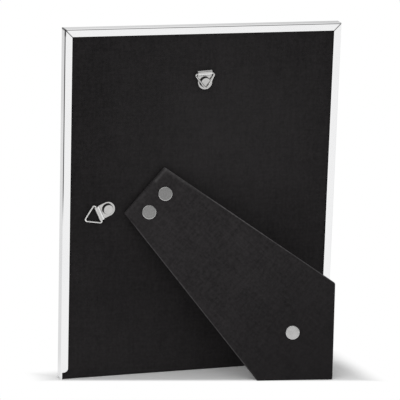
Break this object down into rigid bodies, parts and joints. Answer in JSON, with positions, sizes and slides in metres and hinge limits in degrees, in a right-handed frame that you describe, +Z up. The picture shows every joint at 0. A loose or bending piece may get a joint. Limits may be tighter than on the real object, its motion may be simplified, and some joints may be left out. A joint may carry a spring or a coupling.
{
  "type": "easel back photo frame",
  "caption": "Slim polished metal photo frame with a black easel back that slides out, a hinged diagonal leg on a stay ribbon, and two riveted hanging rings.",
  "frame": {"origin": "centre of the footprint on the table, below the standing frame", "axes": "+Z up, +Y out of the back towards the leg, +X to the left as seen from behind"},
  "size_m": [0.206, 0.0669, 0.2577],
  "materials": {
    "rails": "polished plate",
    "corner_keys": "stamped",
    "glass": "clear float glass",
    "picture_paper": "plain card",
    "grey_board": "die-cut grey board",
    "cover_paper": "black suede paper",
    "lining_paper": "plain lining paper",
    "hinge_steel": "zinc plated",
    "leg_rivets": "satin nickel plate",
    "hanger_nickel": "nickel plate",
    "ribbon": "black ribbed ribbon"
  },
  "bodies": {
    "frame": {"rail_top": "rails", "rail_left": "rails", "rail_right": "rails", "rail_bottom": "rails", "corner_key_top_left": "corner_keys", "corner_key_top_right": "corner_keys", "corner_key_bottom_left": "corner_keys", "corner_key_bottom_right": "corner_keys", "glass_pane": "glass"},
    "picture": {"picture_insert": "picture_paper"},
    "easel_back": {"back_board_core": "grey_board", "back_board_cover": "cover_paper", "back_board_lining": "lining_paper", "board_hinge_leaf": "hinge_steel", "hinge_pin": "hinge_steel", "board_hinge_rivets": "hinge_steel", "stay_rivet_board": "leg_rivets", "top_hanger_rivet": "hanger_nickel", "side_hanger_rivet": "hanger_nickel"},
    "easel_leg": {"leg_board_core": "grey_board", "leg_cover_inner": "cover_paper", "leg_cover_outer": "cover_paper", "leg_hinge_leaf": "hinge_steel", "leg_hinge_rivets": "leg_rivets", "stay_rivet_leg": "leg_rivets", "stay_ribbon": "ribbon"},
    "top_strap": {"top_hanger_strap": "hanger_nickel"},
    "top_ring": {"top_hanger_ring": "hanger_nickel"},
    "side_strap": {"side_hanger_strap": "hanger_nickel"},
    "side_ring": {"side_hanger_ring": "hanger_nickel"}
  },
  "joints": [
    {"name": "easel_back_slide", "type": "slide", "parent": "frame", "child": "easel_back", "axis": [0, -0.0953, -0.9954], "range_m": [0, 0.235]},
    {"name": "picture_slide", "type": "slide", "parent": "frame", "child": "picture", "axis": [0, -0.0953, -0.9954], "range_m": [0, 0.235]},
    {"name": "leg_hinge", "type": "hinge", "parent": "easel_back", "child": "easel_leg", "pos_m": [0.0393, -0.01077, 0.13479], "axis": [-0.6664, 0.0711, 0.7422], "range_deg": [0, 16.33], "deforming": ["stay_ribbon"]},
    {"name": "top_strap_swivel", "type": "hinge", "parent": "easel_back", "child": "top_strap", "pos_m": [-0.0006, -0.0041, 0.21652], "axis": [0, 0.9954, -0.0953], "continuous": true},
    {"name": "top_ring_swing", "type": "hinge", "parent": "top_strap", "child": "top_ring", "pos_m": [-0.00021, -0.00225, 0.22265], "axis": [0.998, -0.006, -0.0625], "range_deg": [0, 158.55]},
    {"name": "side_strap_swivel", "type": "hinge", "parent": "easel_back", "child": "side_strap", "pos_m": [0.0697, -0.01272, 0.12644], "axis": [0, 0.9954, -0.0953], "range_deg": [-114.5, 65.5]},
    {"name": "side_ring_swing", "type": "hinge", "parent": "side_strap", "child": "side_ring", "pos_m": [0.07651, -0.01178, 0.12323], "axis": [0.4147, 0.0867, 0.9058], "range_deg": [0, 158.55]}
  ]
}
